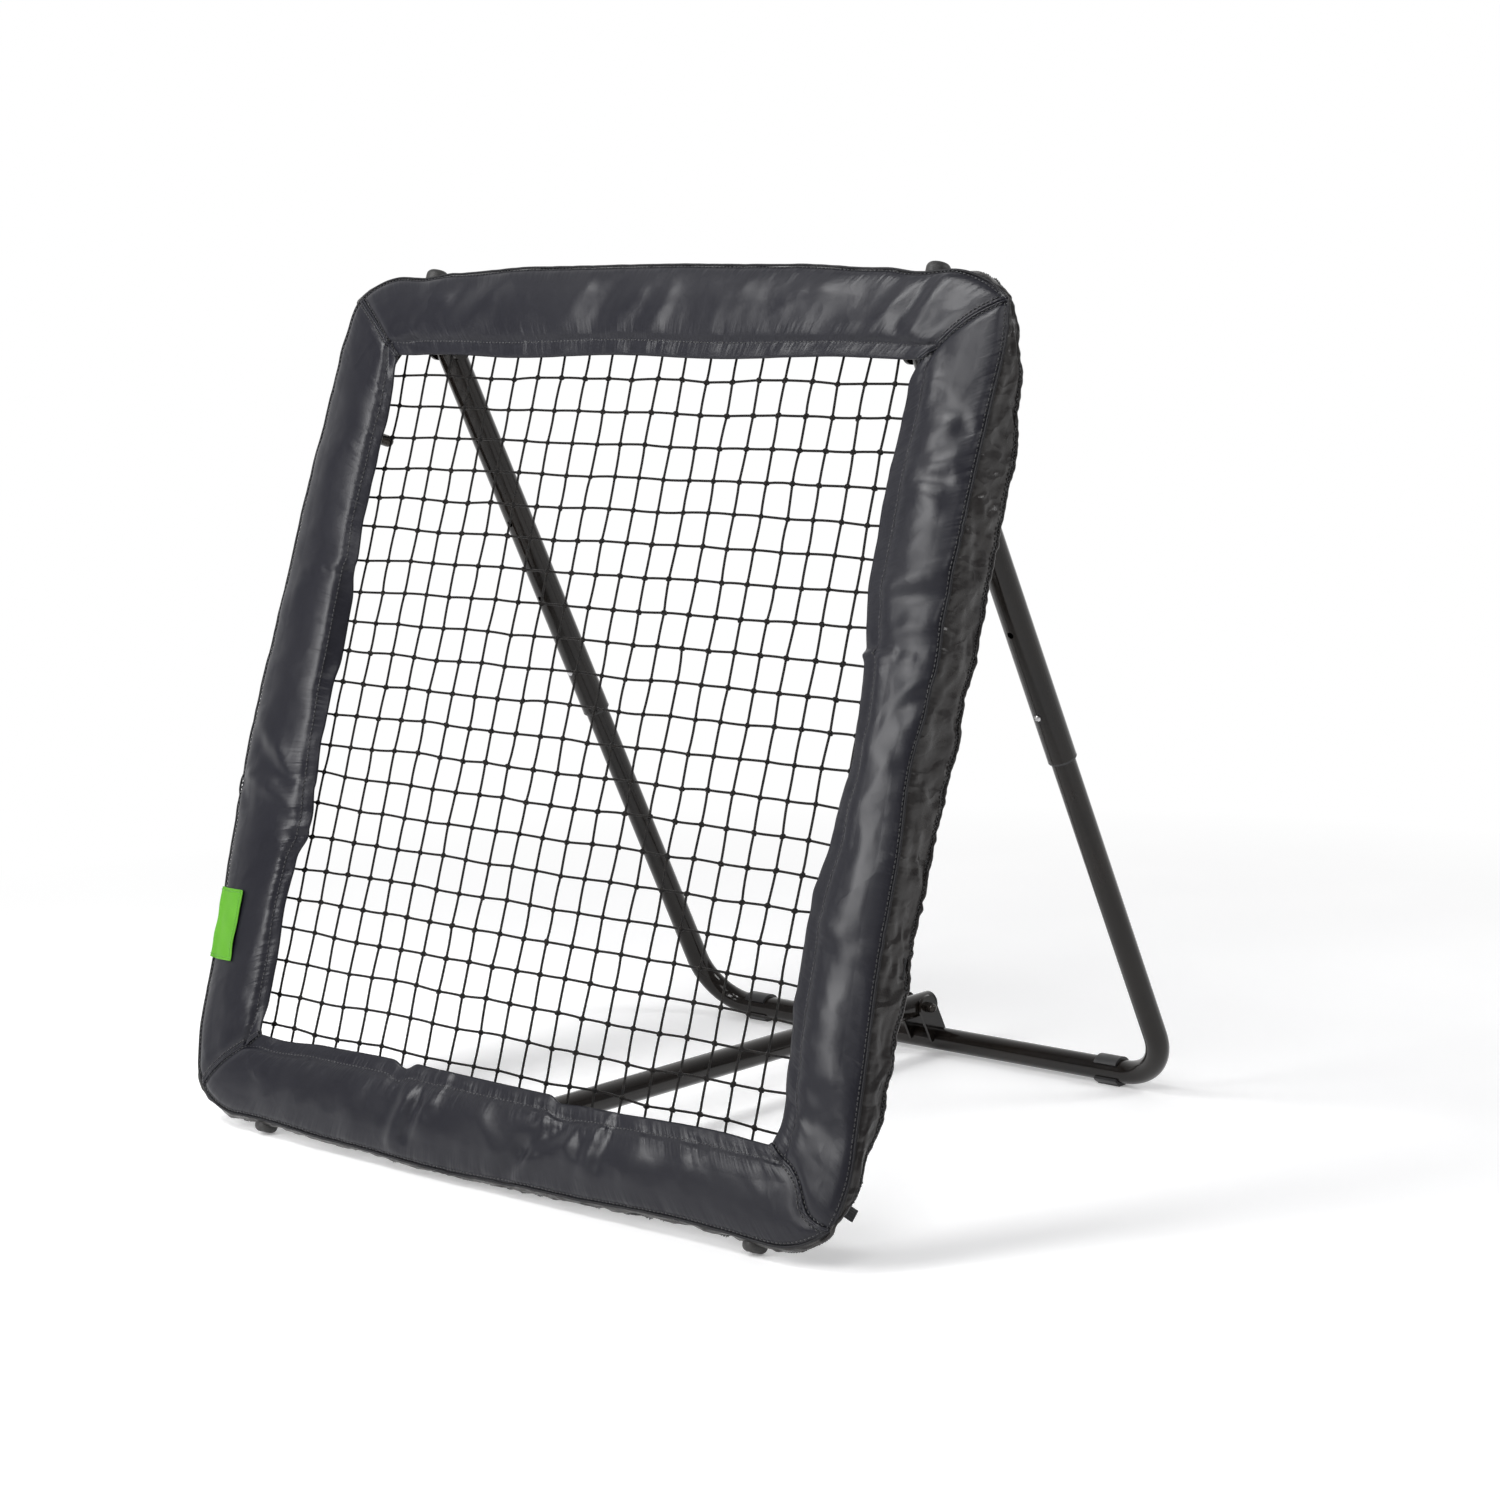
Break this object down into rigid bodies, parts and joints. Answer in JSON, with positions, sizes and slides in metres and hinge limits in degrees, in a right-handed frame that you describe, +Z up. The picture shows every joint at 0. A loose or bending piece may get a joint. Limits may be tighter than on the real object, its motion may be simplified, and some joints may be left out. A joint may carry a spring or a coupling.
{
  "type": "pitch back rebounder",
  "caption": "Padded square net frame leaning on a hinged rear frame with telescopic legs and a telescopic ground strut that sets the lean of the net.",
  "frame": {"origin": "middle of the footprint on the ground", "axes": "+X across the net, +Y from the net towards the rear frame, +Z up"},
  "size_m": [1.1602, 0.8882, 1.1167],
  "materials": {
    "black_paint": "gloss",
    "zinc_steel": "satin",
    "black_steel": "satin",
    "cover_fabric": "satin",
    "piping_fabric": "satin",
    "foot_rubber": "matte",
    "black_plastic": "matte",
    "net_cord": "matte",
    "elastic_cord": "matte",
    "foam": "matte",
    "webbing": "matte",
    "tag_fabric": "matte"
  },
  "bodies": {
    "front_frame": {"frame_bottom_tube": "black_paint", "frame_top_tube": "black_paint", "frame_joint_bolts": "zinc_steel", "frame_joint_nuts": "black_steel", "bottom_feet": "foot_rubber", "top_feet": "foot_rubber", "net": "net_cord", "net_lacing": "elastic_cord", "cover_top": "cover_fabric", "cover_bottom": "cover_fabric", "cover_left": "cover_fabric", "cover_right": "cover_fabric", "cover_piping": "piping_fabric", "foam_strips": "foam", "pad_straps": "webbing", "side_tag": "tag_fabric", "top_hinge_ears": "black_paint", "strut_front_ears": "black_paint"},
    "hinge_pins": {"hinge_bolts": "zinc_steel", "hinge_nuts": "black_steel"},
    "upper_legs": {"upper_leg_left": "black_paint", "upper_leg_right": "black_paint", "upper_leg_plugs": "black_plastic", "guide_sleeves": "black_plastic"},
    "lower_frame": {"rear_u_tube": "black_paint", "crossbar_clips": "black_plastic", "strut_rear_ears": "black_paint", "strut_rear_bolt": "zinc_steel", "strut_rear_nut": "black_steel"},
    "leg_button_left": {"leg_button_left": "zinc_steel"},
    "leg_button_right": {"leg_button_right": "zinc_steel"},
    "strut_front_pin": {"strut_front_bolt": "zinc_steel", "strut_front_nut": "black_steel"},
    "strut_front": {"strut_front_tube": "black_paint", "strut_front_plug": "black_plastic"},
    "strut_rear": {"strut_rear_tube": "black_paint", "strut_stop_rivet": "zinc_steel"},
    "strut_button": {"strut_button": "zinc_steel"}
  },
  "joints": [
    {"name": "tilt", "type": "hinge", "parent": "front_frame", "child": "hinge_pins", "pos_m": [0, -0.05267, 1.01131], "axis": [1, 0, 0], "range_deg": [0, 36.36]},
    {"name": "leg_swing", "type": "hinge", "parent": "hinge_pins", "child": "upper_legs", "pos_m": [0, -0.05267, 1.01131], "axis": [1, 0, 0], "range_deg": [0, 5.24]},
    {"name": "leg_length", "type": "slide", "parent": "upper_legs", "child": "lower_frame", "axis": [0, 0.4334, -0.9012], "range_m": [-0.244, 0]},
    {"name": "leg_button_left_press", "type": "slide", "parent": "lower_frame", "child": "leg_button_left", "axis": [0, 0.9012, 0.4334], "range_m": [0, 0.0075], "stiffness_N_per_m": 1500, "deforming": ["leg_button_left"]},
    {"name": "leg_button_right_press", "type": "slide", "parent": "lower_frame", "child": "leg_button_right", "axis": [0, 0.9012, 0.4334], "range_m": [0, 0.0075], "stiffness_N_per_m": 1500, "deforming": ["leg_button_right"]},
    {"name": "strut_pin_turn", "type": "hinge", "parent": "front_frame", "child": "strut_front_pin", "pos_m": [0, -0.36917, 0.07537], "axis": [1, 0, 0], "range_deg": [0, 20.23]},
    {"name": "strut_swing", "type": "hinge", "parent": "strut_front_pin", "child": "strut_front", "pos_m": [0, -0.36917, 0.07537], "axis": [1, 0, 0], "range_deg": [0, 19.3]},
    {"name": "strut_length", "type": "slide", "parent": "strut_front", "child": "strut_rear", "axis": [0, 1, -0.0075], "range_m": [0, 0.54795]},
    {"name": "strut_button_press", "type": "slide", "parent": "strut_rear", "child": "strut_button", "axis": [1, 0, 0], "range_m": [0, 0.006], "stiffness_N_per_m": 1500, "deforming": ["strut_button"]}
  ],
  "couplings": [
    {"joint": "strut_pin_turn", "follows": "tilt", "ratio": 0.55621},
    {"joint": "strut_length", "follows": "tilt", "m_per_rad": 0.86342},
    {"joint": "leg_swing", "follows": "leg_length", "rad_per_m": -0.37465},
    {"joint": "strut_swing", "follows": "leg_length", "rad_per_m": -1.3803}
  ]
}
